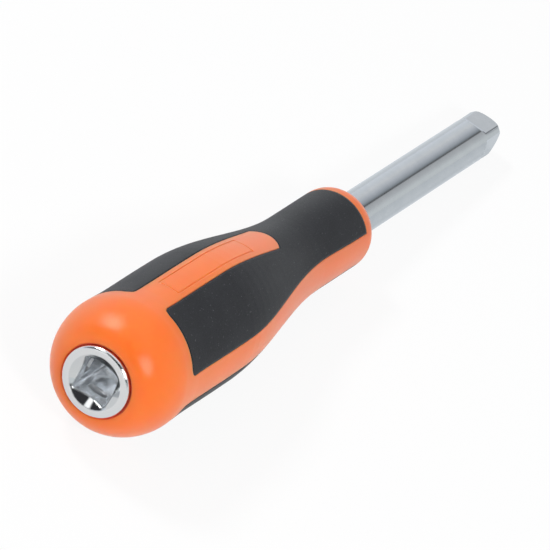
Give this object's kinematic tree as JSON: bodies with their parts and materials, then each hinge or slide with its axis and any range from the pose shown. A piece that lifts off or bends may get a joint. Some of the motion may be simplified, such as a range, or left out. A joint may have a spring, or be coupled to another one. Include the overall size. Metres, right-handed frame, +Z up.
{
  "type": "square drive spinner handle",
  "caption": "Spinner handle for sockets: a steel bar with a female square in the butt and a sprung-ball male square at the tip, moulded into a bulbous handle with soft grip panels.",
  "frame": {"origin": "middle of the female square's mouth, on the flat butt face of the drive bar", "axes": "+X along the bar from the butt to the male square, +Z up and square to a flat of both squares, +Y square to the flat that holds the detent ball"},
  "size_m": [0.1383, 0.0232, 0.0232],
  "materials": {
    "chrome": "polished chrome plate",
    "steel": "bright bearing steel",
    "orange_plastic": "satin moulded",
    "grey_rubber": "matt soft grip"
  },
  "bodies": {
    "tool": {"drive_bar": "chrome", "detent_spring": "steel", "handle_body": "orange_plastic", "grip_upper": "grey_rubber", "grip_lower": "grey_rubber"},
    "ball": {"detent_ball": "steel"}
  },
  "joints": [
    {"name": "ball_press", "type": "slide", "parent": "tool", "child": "ball", "axis": [0, -1, 0], "range_m": [0, 0.00055], "stiffness_N_per_m": 30, "springref_m": -0.001, "deforming": ["detent_spring"]}
  ]
}
